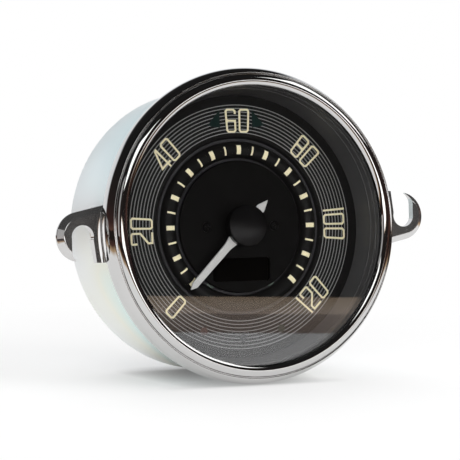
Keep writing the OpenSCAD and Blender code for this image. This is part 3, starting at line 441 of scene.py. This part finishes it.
# How each finish is made from the colours that the user can change, k
MAKERS = {
    "chrome": lambda k: chrome_finish("Polished chrome", k.chrome, low=0.025, high=0.07),
    "cast_chrome": lambda k: chrome_finish(
        "Plated casting", k.chrome, low=0.03, high=0.07, metallic=0.95
    ),
    "zinc": lambda k: zinc_finish(k.zinc),
    "glass": lambda k: clear_finish(
        "Flat dial glass", (0.975, 0.975, 0.975), gloss_rough=0.004, ior=1.5
    ),
    "clear": lambda k: clear_finish(
        "Clear moulding", (0.86, 0.90, 0.92), gloss_rough=0.08, ior=1.45
    ),
    "rubber": lambda k: grained("Black rubber", (0.02, 0.02, 0.02), rough=0.8, scale=1500),
    "wall": lambda k: grained(
        "Satin black wall", (0.075, 0.075, 0.076), rough=0.34, scale=1600, depth=0.002
    ),
    "plate": lambda k: grained(
        "Black dial enamel", k.dial_black, rough=0.5, scale=1400, depth=0.0008, shine=0.15
    ),
    "disc": lambda k: grained(
        "Matt black centre", (0.003, 0.003, 0.003), rough=0.5, scale=1400, depth=0.001, shine=0.12
    ),
    "ring": lambda k: grained(
        "Satin black ring", (0.006, 0.006, 0.006), rough=0.38, scale=1400, depth=0.001, shine=0.25
    ),
    "grey_ink": lambda k: ink_finish("Grey line ink", k.grey_ink),
    "cream_ink": lambda k: ink_finish("Cream numeral ink", k.cream_ink),
    "mark_ink": lambda k: ink_finish(
        "Cream mark ink", tuple(MARK_LIGHTNESS * c for c in k.cream_ink)
    ),
    "green_ink": lambda k: ink_finish("Dark green ink", k.green_ink),
    "black_screw": lambda k: grained(
        "Black screw", (0.004, 0.004, 0.004), rough=0.3, scale=1800, depth=0.002, shine=0.12
    ),
    "smoke": lambda k: grained(
        "Smoked pane", (0.0004, 0.0004, 0.0004), rough=0.08, depth=0.0005, shine=0.04
    ),
    "display": lambda k: grained("Display module", (0.10, 0.13, 0.11), rough=0.25, depth=0.002),
    "red_lens": lambda k: grained(
        "Red lens", (0.034, 0.011, 0.010), rough=0.4, scale=1200, depth=0.003
    ),
    "blue_lens": lambda k: grained(
        "Blue lens", (0.008, 0.009, 0.012), rough=0.4, scale=1200, depth=0.003
    ),
    "green_lens": lambda k: grained(
        "Green lens", (0.008, 0.015, 0.008), rough=0.4, scale=1200, depth=0.003
    ),
    "moulded": lambda k: grained(
        "Black moulding", (0.022, 0.022, 0.024), rough=0.5, scale=1400, depth=0.012
    ),
    "needle": lambda k: grained(
        "White needle paint", k.needle, rough=0.42, scale=1800, depth=0.004, spread=0.02
    ),
    # The cap's slight crown shades it from dark above to grey below
    "cap": lambda k: grained(
        "Charcoal cap", k.cap, rough=0.2, scale=1900, depth=0.008, spread=0.12, shine=0.3,
        crown=CAP_CROWN,
    ),
    "steel": lambda k: grained(
        "Bright steel", (0.56, 0.57, 0.58), rough=0.28, metallic=1.0, scale=1200, depth=0.003
    ),
    "gear": lambda k: grained(
        "Natural gear plastic", (0.72, 0.68, 0.56), rough=0.45, scale=1500, depth=0.004
    ),
    "magnet": lambda k: grained(
        "Ground magnet", (0.12, 0.12, 0.13), rough=0.4, metallic=0.6, scale=1300, depth=0.005
    ),
    "copper": lambda k: wound_finish(),
    "board": lambda k: board_finish(),
    "chip": lambda k: grained("Black epoxy", (0.018, 0.018, 0.020), rough=0.6, scale=1700),
    "led": lambda k: grained("Lamp epoxy", (0.80, 0.74, 0.45), rough=0.3, scale=1400, depth=0.003),
    "brass": lambda k: grained(
        "Tinned brass", (0.62, 0.50, 0.24), rough=0.25, metallic=1.0, scale=1200, depth=0.003
    ),
}
FINISHES = {}


def finish(key):
    """The material of that key, made once."""
    if key not in FINISHES:
        FINISHES[key] = MAKERS[key](bpy.context.scene.gauge_looks).material
    return FINISHES[key]


# Settings


class GaugeLooks(bpy.types.PropertyGroup):
    """Colours of the surfaces that show."""

    def tint(name, text, value):
        return FloatVectorProperty(
            name=name, description=text, default=value, subtype="COLOR", size=3, min=0, max=1
        )

    chrome: tint("Chrome", "Colour that the plated parts mirror with", (0.62, 0.615, 0.61))
    zinc: tint("Zinc", "Colour of the plated case", (0.78, 0.85, 0.86))
    dial_black: tint("Dial", "Colour of the numeral plate", (0.006, 0.006, 0.006))
    grey_ink: tint("Lines", "Colour of the fine circles", (0.22, 0.22, 0.22))
    cream_ink: tint("Numerals", "Colour of the numerals and marks", (0.76, 0.70, 0.47))
    green_ink: tint("Triangles", "Colour of the triangles at the top", (0.004, 0.013, 0.012))
    needle: tint("Pointer", "Colour of the pointer", (0.54, 0.54, 0.53))
    cap: tint("Cap", "Colour of the hub cap", (0.0035, 0.0035, 0.0038))


class GaugeSizes(bpy.types.PropertyGroup):
    """Sizes of the pieces that are made here, in millimetres, and two angles."""

    def size(name, text, value, low, high):
        return FloatProperty(name=name, description=text, default=value, min=low, max=high)

    def angle(name, text, value, low, high):
        return FloatProperty(
            name=name, description=text, subtype="ANGLE",
            default=radians(value), min=radians(low), max=radians(high),
        )

    crest_ring: size("Crest ring", "Radius at which the bezel stands proudest", 54.8, 54.5, 55.6)
    crest_top: size("Crest top", "Height of the bezel's crest", 17.53, 17.0, 17.56)
    crest_r: size("Crest radius", "Radius of the crest's rounding", 2.2, 1.8, 2.4)
    lip_end: angle("Lip end", "Angle of the crest's arc at its inner end", 150, 140, 160)
    lip_rear: size("Lip rear", "Height of the lip's rear face", 15.95, 15.5, 16.5)
    flank_start: angle("Flank start", "Angle of the crest's arc at its outer end", 57, 50, 70)
    flank_r: size("Flank radius", "Radius of the bezel's outer flank", 8.78, 7.0, 8.8)
    edge_r: size("Edge radius", "Radius of the rolled rear edge", 0.6, 0.4, 0.8)
    crimp_rear: size(
        "Crimp rear", "Height of the rear face of the crimped lip",
        DIAL_DEPTH - cad_mm("bezel", HIGHEST, Y), 7.4, 9.4,
    )
    crimp_r: size("Crimp radius", "Radius of the hole in the crimped rear lip", 56.2, 55.5, 57.0)
    crimp_bevel: size("Crimp bevel", "Bevel round that hole", 0.2, 0.1, 0.4)
    sheet: size("Sheet", "Thickness of the bezel's sheet", 0.9, 0.7, 1.0)
    groove_ring: size("Groove ring", "Radius of the groove outside the crest", 57.35, 57.0, 58.5)
    groove_depth: size("Groove depth", "Depth of that groove", 0.58, 0.0, 0.7)
    groove_half_w: size("Groove width", "Half the width of that groove", 0.34, 0.2, 0.6)
    roll_gap: size("Roll gap", "Distance from the groove out to the roll", 0.65, 0.4, 1.0)
    roll_height: size("Roll height", "Height of the roll outside the groove", 0.22, 0.0, 0.3)
    roll_half_w: size("Roll width", "Half the width of that roll", 0.40, 0.2, 0.6)
    glass_r: size(
        "Glass radius", "Radius of the glass", cad_mm("glass", HIGHEST, X), 55.0, 57.0
    )
    glass_rear: size(
        "Glass rear", "Height of the glass's rear face",
        DIAL_DEPTH - cad_mm("glass", HIGHEST, Y), 13.0, 14.0,
    )
    glass_front: size(
        "Glass front", "Height of the glass's front face",
        DIAL_DEPTH - cad_mm("glass", LOWEST, Y), 15.0, 16.0,
    )
    glass_bevel: size("Glass bevel", "Ground bevel round the glass", 0.3, 0.1, 0.5)
    hook_edge: size("Hook edge", "Radius of the hooks' cast edges", 0.45, 0.2, 0.8)
    disc_edge: size("Disc edge", "Radius of the centre disc's edges", 0.08, 0.04, 0.2)
    needle_edge: size("Needle edge", "Radius of the pointer's edges", 0.12, 0.05, 0.2)
    socket_edge: size("Socket edge", "Radius of the socket's moulded edges", 0.2, 0.1, 0.4)
    vent_edge: size("Vent edge", "Radius of the vent's moulded edges", 0.25, 0.1, 0.4)
    steps: IntProperty(
        name="Steps", description="Sides of each spun piece", default=256, min=64, max=512
    )


class GaugeStudio(bpy.types.PropertyGroup):
    """Camera and light."""

    def watts(name, text, value, high):
        return FloatProperty(name=name, description=text, default=value, min=0, max=high)

    lens: FloatProperty(
        name="Lens", description="Focal length in millimetres", default=186.8, min=50, max=400
    )
    eye: FloatVectorProperty(
        name="Camera", description="Place of the camera", subtype="TRANSLATION", unit="LENGTH",
        default=(-0.38781, -0.81521, -0.02303), size=3,
    )
    sight: FloatVectorProperty(
        name="Sight", description="Direction that the camera looks in", subtype="DIRECTION",
        default=(0.42096, 0.90676, 0.02394), size=3,
    )
    head: FloatVectorProperty(
        name="Upright", description="Direction of the top of the picture", subtype="DIRECTION",
        default=(0.02131, -0.03627, 0.99911), size=3,
    )
    tilt: FloatProperty(
        name="Tilt", description="Slope of the floor under the case", subtype="ANGLE",
        default=radians(6.5), min=0, max=radians(20),
    )
    key: watts("Key", "Power of the key light in watts", 10.5, 200)
    fill: watts("Fill", "Power of the fill light in watts", 10, 200)
    top: watts("Top", "Power of the top light in watts", 19, 200)
    window: watts("Windows", "Power of the two windows in watts a square metre", 6.0, 50)
    side_window: watts("Side window", "Power of the side window in watts a square metre", 1.5, 50)


# Operators


class GAUGE_OT_bezel(bpy.types.Operator):
    """Spins the chrome bezel with its lip, crest, groove and roll"""

    bl_idname = "gauge.bezel"
    bl_label = "Bezel"

    def execute(self, context):
        k = context.scene.gauge_sizes
        lip_end = degrees(k.lip_end)
        flank_start = degrees(k.flank_start)
        crest = (k.crest_ring, k.crest_top - k.crest_r)
        # The flank's arc runs on from the crest's without a corner
        back = k.flank_r - k.crest_r
        flank = (crest[0] - back * cos(k.flank_start), crest[1] - back * sin(k.flank_start))
        rim_r = flank[0] + k.flank_r
        lip_r = k.edge_r / 2
        lip = (crest[0] + (k.crest_r - lip_r) * cos(k.lip_end), k.lip_rear + lip_r)
        front = arc(crest, k.crest_r, lip_end, flank_start, CREST_STEPS)
        front += arc(flank, k.flank_r, flank_start, 0, FLANK_STEPS)[1:]
        edge = (rim_r - k.edge_r, k.crimp_rear + k.edge_r)
        crimp_front = k.crimp_rear + k.sheet
        profile = arc(lip, lip_r, 270, lip_end, BEND_STEPS)
        profile += [(r, h + self.roll(k, r)) for r, h in front]
        profile += arc(edge, k.edge_r, 0, -90, BEND_STEPS)
        profile += [
            (k.crimp_r + k.crimp_bevel, k.crimp_rear),
            (k.crimp_r, k.crimp_rear + k.crimp_bevel),
            (k.crimp_r, crimp_front),
            (rim_r - k.sheet, crimp_front),
        ]
        profile += arc(flank, k.flank_r - k.sheet, 0, INNER_END, INNER_STEPS)
        profile[-1] = (profile[-1][0], k.lip_rear)
        bm = spun(profile, k.steps)
        piece = new_piece("bezel_rim", bm, finish("chrome"), HOUSING, "bezel")
        split_edges(piece, angle=50)
        return {"FINISHED"}

    def roll(self, k, r):
        """Rise of the bezel's surface at radius r: a groove with a low roll outside it."""
        out = r - k.groove_ring
        groove = exp(-(out / k.groove_half_w) ** 2)
        roll = exp(-((out - k.roll_gap) / k.roll_half_w) ** 2)
        return k.roll_height * roll - k.groove_depth * groove


class GAUGE_OT_glass(bpy.types.Operator):
    """Spins the flat glass with ground edges, and finishes the seals round it"""

    bl_idname = "gauge.glass"
    bl_label = "Glass"

    def execute(self, context):
        k = context.scene.gauge_sizes
        profile = [
            (0, k.glass_rear),
            (k.glass_r - k.glass_bevel, k.glass_rear),
            (k.glass_r, k.glass_rear + k.glass_bevel),
            (k.glass_r, k.glass_front - k.glass_bevel),
            (k.glass_r - k.glass_bevel, k.glass_front),
            (0, k.glass_front),
        ]
        bm = spun(profile, k.steps, closed=False)
        piece = new_piece("dial_glass", bm, finish("glass"), HOUSING, "glass")
        split_edges(piece, angle=20)
        finish_nodes("rubber", "glass_gasket", "case_gasket")
        return {"FINISHED"}


class GAUGE_OT_case(bpy.types.Operator):
    """Finishes the plated case"""

    bl_idname = "gauge.case"
    bl_label = "Case"

    def execute(self, context):
        finish_nodes("zinc", "case_can")
        return {"FINISHED"}


class GAUGE_OT_hooks(bpy.types.Operator):
    """Casts the two side hooks with rounded edges, and finishes their rivets"""

    bl_idname = "gauge.hooks"
    bl_label = "Hooks"

    def execute(self, context):
        width = context.scene.gauge_sizes.hook_edge
        for side in ("left", "right"):
            piece = rounded_copy(
                "cast_hook_" + side, "hook_" + side, finish("cast_chrome"), HOUSING, width,
                segments=4, angle=35, widest=60,
            )
        finish_nodes("steel", *(f"hook_rivet_{i}" for i in range(1, 5)))
        return {"FINISHED"}


class GAUGE_OT_dial(bpy.types.Operator):
    """Finishes the wall, the numeral plate, its printing and what carries them"""

    bl_idname = "gauge.dial"
    bl_label = "Dial"

    def execute(self, context):
        finish_nodes("wall", "wall_ring")
        finish_nodes("plate", "numeral_plate")
        finish_nodes("grey_ink", "dial_lines")
        finish_nodes("cream_ink", "numerals")
        finish_nodes("green_ink", "side_triangles")
        finish_nodes("moulded", "dial_carrier")
        finish_nodes("clear", "light_guide")
        return {"FINISHED"}


class GAUGE_OT_tick_ring(bpy.types.Operator):
    """Finishes the raised ring and its marks"""

    bl_idname = "gauge.tick_ring"
    bl_label = "Tick ring"

    def execute(self, context):
        finish_nodes("ring", "tick_ring")
        finish_nodes("mark_ink", "tick_marks", angle=60)
        return {"FINISHED"}


class GAUGE_OT_centre(bpy.types.Operator):
    """Rounds the centre disc, and finishes its screws and the display behind its window"""

    bl_idname = "gauge.centre"
    bl_label = "Centre disc"

    def execute(self, context):
        width = context.scene.gauge_sizes.disc_edge
        piece = rounded_copy(
            "centre_plate", "centre_disc", finish("disc"), HOUSING, width, segments=2, angle=30
        )
        finish_nodes("black_screw", "dial_screw_left", "dial_screw_right")
        finish_nodes("smoke", "display_window")
        finish_nodes("display", "display_module")
        return {"FINISHED"}


class GAUGE_OT_lamps(bpy.types.Operator):
    """Finishes the three warning lamps"""

    bl_idname = "gauge.lamps"
    bl_label = "Warning lamps"

    def execute(self, context):
        for colour in ("red", "blue", "green"):
            finish_nodes(colour + "_lens", "lamp_lens_" + colour)
        return {"FINISHED"}


class GAUGE_OT_pointer(bpy.types.Operator):
    """Rounds the pointer, and finishes its cap and its shaft"""

    bl_idname = "gauge.pointer"
    bl_label = "Pointer"

    def execute(self, context):
        width = context.scene.gauge_sizes.needle_edge
        needle = rounded_copy("needle", "pointer", finish("needle"), POINTER_SET, width, segments=2)
        finish_nodes("cap", "hub_cap", angle=40)
        finish_nodes("steel", "arbor")
        return {"FINISHED"}


class GAUGE_OT_rear(bpy.types.Operator):
    """Finishes the screws on the rear face, and rounds the vent and the socket"""

    bl_idname = "gauge.rear"
    bl_label = "Rear fittings"

    def execute(self, context):
        k = context.scene.gauge_sizes
        moulded = finish("moulded")
        shell = rounded_copy("socket_shell", "socket", moulded, HOUSING, k.socket_edge, segments=2)
        plug = rounded_copy("vent_cap", "vent_plug", moulded, HOUSING, k.vent_edge)
        finish_nodes("steel", *(f"rear_screw_{i}" for i in range(1, 4)))
        finish_nodes("brass", "socket_pins")
        finish_nodes("rubber", "socket_seal")
        return {"FINISHED"}


class GAUGE_OT_movement(bpy.types.Operator):
    """Finishes the geared stepper inside the case"""

    bl_idname = "gauge.movement"
    bl_label = "Movement"

    def execute(self, context):
        finish_nodes("gear", "output_gear", "idler_gear")
        finish_nodes("magnet", "rotor")
        finish_nodes("steel", "stator")
        finish_nodes("copper", "coil_left", "coil_right")
        finish_nodes("moulded", "motor_front", "motor_back")
        return {"FINISHED"}


class GAUGE_OT_board(bpy.types.Operator):
    """Finishes the circuit board and what is soldered to it"""

    bl_idname = "gauge.board"
    bl_label = "Circuit board"

    def execute(self, context):
        finish_nodes("board", "circuit_board")
        finish_nodes("chip", "processor", "regulator", "capacitor")
        finish_nodes("led", "dial_lights", "warning_lights")
        finish_nodes("steel", "crystal", *(f"board_screw_{i}" for i in range(1, 4)))
        return {"FINISHED"}


class GAUGE_OT_stage(bpy.types.Operator):
    """Sets up the floor, the light and the camera"""

    bl_idname = "gauge.stage"
    bl_label = "Studio"

    def execute(self, context):
        k = context.scene.gauge_studio
        self.floor(k.tilt, context.scene.gauge_sizes)
        self.lights(context, k)
        self.surroundings(context, k)
        self.camera(context, k)
        return {"FINISHED"}

    def floor(self, tilt, sizes):
        """A wide sheet from the bottom of the rim's rear edge up to the case's rear edge."""
        foot = Vector((0, dial_y(sizes.crimp_rear + sizes.edge_r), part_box("bezel")[LOWEST][Z]))
        bm = bmesh.new()
        bmesh.ops.create_circle(bm, cap_ends=True, segments=96, radius=6)
        bmesh.ops.rotate(bm, verts=bm.verts, cent=(0, 0, 0), matrix=Matrix.Rotation(tilt, 3, "X"))
        bmesh.ops.translate(bm, verts=bm.verts, vec=foot)
        floor = new_object("floor", bm, floor_finish().material)

    def lights(self, context, k):
        """Soft lamps light the dial and the floor, and the bright metal mirrors only the windows."""
        # Name, place and size in metres, power, and whether the metal mirrors it: a mirrored
        # light is square, and its power is in watts a square metre
        for name, place, size, power, mirrored in (
            ("side_window", (-0.96, -0.40, 0.22), 0.55, k.side_window, True),
            ("key", (-0.35, -1.05, 0.05), 0.7, k.key, False),
            ("fill", (0.75, -0.85, 0.32), 0.7, k.fill, False),
            ("top", (0.0, 0.30, 1.5), 1.6, k.top, False),
            ("left_window", (-0.62, -1.00, 0.70), 0.62, k.window, True),
            ("right_window", (0.98, -0.44, 0.80), 0.76, k.window, True),
        ):
            light = bpy.data.lights.new(name, "AREA")
            light.shape = "SQUARE" if mirrored else "DISK"
            light.size = size
            light.energy = power * size ** 2 if mirrored else power
            lamp = bpy.data.objects.new(name, light)
            lamp.location = place
            lamp.rotation_euler = (-Vector(place)).to_track_quat("-Z", "Y").to_euler()
            lamp.visible_glossy = mirrored
            context.scene.collection.objects.link(lamp)

    def surroundings(self, context, k):
        """A white background low behind, and a dark room with a bright shelf low in front."""
        world = context.scene.world or bpy.data.worlds.new("Studio")
        context.scene.world = world
        world.use_nodes = True
        world.node_tree.nodes.clear()
        room = Wiring(world.node_tree)
        direction = room.add("ShaderNodeVectorRotate", {
            "Vector": room.add("ShaderNodeTexCoord").outputs["Generated"], "Angle": -k.tilt,
        }, rotation_type="X_AXIS").outputs["Vector"]
        height = room.along(direction, "Z")
        back = room.along(direction, "Y")

        def fade(near, far, start, end):
            """One part of the room into the next, by how far back it is."""
            share = room.between(back, 0, 1, start, end, interpolation_type="SMOOTHSTEP")
            return room.mixed(share, near, far)

        # The shelf runs away to the right, so its edges slope
        shelf = room.measure("DOT_PRODUCT", direction, (0.1, 0, 1))
        front = room.fine_ramp(shelf, [
            (0.1080, (2.20, 2.20, 2.22)),
            (0.1255, (1.95, 1.95, 1.97)),
            (0.1260, (0.74, 0.57, 0.49)),
            (0.1290, (0.90, 0.70, 0.60)),
            (0.1335, (0.98, 0.78, 0.66)),
            (0.1340, (1.90, 1.52, 1.26)),
            (0.1370, (1.70, 1.36, 1.06)),
            (0.1405, (1.45, 1.10, 0.78)),
            (0.1410, (0.016, 0.013, 0.012)),
        ], low=0.10, high=0.15)
        sides = room.fine_ramp(height, [
            (0.000, (0.12, 0.06, 0.045)),
            (0.060, (0.050, 0.025, 0.022)),
            (0.220, (0.025, 0.018, 0.017)),
            (0.600, (0.014, 0.014, 0.014)),
        ], low=0, high=1)
        rear = room.fine_ramp(height, [
            (0.00, (1.00, 1.01, 1.03)),
            (0.40, (0.95, 0.97, 1.00)),
            (0.50, (0.03, 0.03, 0.03)),
            (1.00, (0.015, 0.015, 0.015)),
        ], low=0, high=1)
        near_half = fade(front, sides, start=-0.86, end=-0.78)
        all_round = fade(near_half, rear, start=0.62, end=0.74)
        lit = room.add("ShaderNodeBackground", {"Color": all_round}).outputs["Background"]
        plain = room.add("ShaderNodeBackground", {"Color": WHITE}).outputs["Background"]
        room.add("ShaderNodeOutputWorld", {
            "Surface": room.mixed_shader(room.seen_directly(), lit, plain),
        })
        context.scene.view_settings.view_transform = "Standard"

    def camera(self, context, k):
        """A camera at the photograph's place, upright as the photograph is."""
        data = bpy.data.cameras.new("camera")
        data.lens = k.lens
        data.clip_start = 0.05
        camera = bpy.data.objects.new("camera", data)
        context.scene.collection.objects.link(camera)
        back = -Vector(k.sight).normalized()
        right = Vector(k.head).cross(back).normalized()
        up = back.cross(right)
        turn = Matrix((right, up, back)).transposed()
        camera.matrix_world = Matrix.Translation(Vector(k.eye)) @ turn.to_4x4()
        context.scene.camera = camera


class GAUGE_PT_panel(bpy.types.Panel):
    """Lists the gauge's sizes, colours and pieces"""

    bl_idname = "GAUGE_PT_panel"
    bl_label = "Round speedometer"
    bl_space_type = "VIEW_3D"
    bl_region_type = "UI"
    bl_category = "Gauge"

    def draw(self, context):
        scene = context.scene
        for group in (scene.gauge_sizes, scene.gauge_looks, scene.gauge_studio):
            box = self.layout.box()
            for key in group.bl_rna.properties.keys():
                if key not in {"rna_type", "name"}:
                    box.prop(group, key)
        for step in STEPS:
            self.layout.operator(step.bl_idname)


STEPS = (
    GAUGE_OT_bezel,
    GAUGE_OT_glass,
    GAUGE_OT_case,
    GAUGE_OT_hooks,
    GAUGE_OT_dial,
    GAUGE_OT_tick_ring,
    GAUGE_OT_centre,
    GAUGE_OT_lamps,
    GAUGE_OT_pointer,
    GAUGE_OT_rear,
    GAUGE_OT_movement,
    GAUGE_OT_board,
    GAUGE_OT_stage,
)
GROUPS = {"gauge_looks": GaugeLooks, "gauge_sizes": GaugeSizes, "gauge_studio": GaugeStudio}


def register():
    for name, group in GROUPS.items():
        bpy.utils.register_class(group)
        setattr(bpy.types.Scene, name, PointerProperty(type=group))
    for step in STEPS:
        bpy.utils.register_class(step)
    bpy.utils.register_class(GAUGE_PT_panel)


def unregister():
    bpy.utils.unregister_class(GAUGE_PT_panel)
    for step in reversed(STEPS):
        bpy.utils.unregister_class(step)
    for name, group in GROUPS.items():
        delattr(bpy.types.Scene, name)
        bpy.utils.unregister_class(group)


def main():
    register()
    for step in STEPS:
        group, name = step.bl_idname.split(".")
        getattr(getattr(bpy.ops, group), name)()


if __name__ == "__main__":
    main()
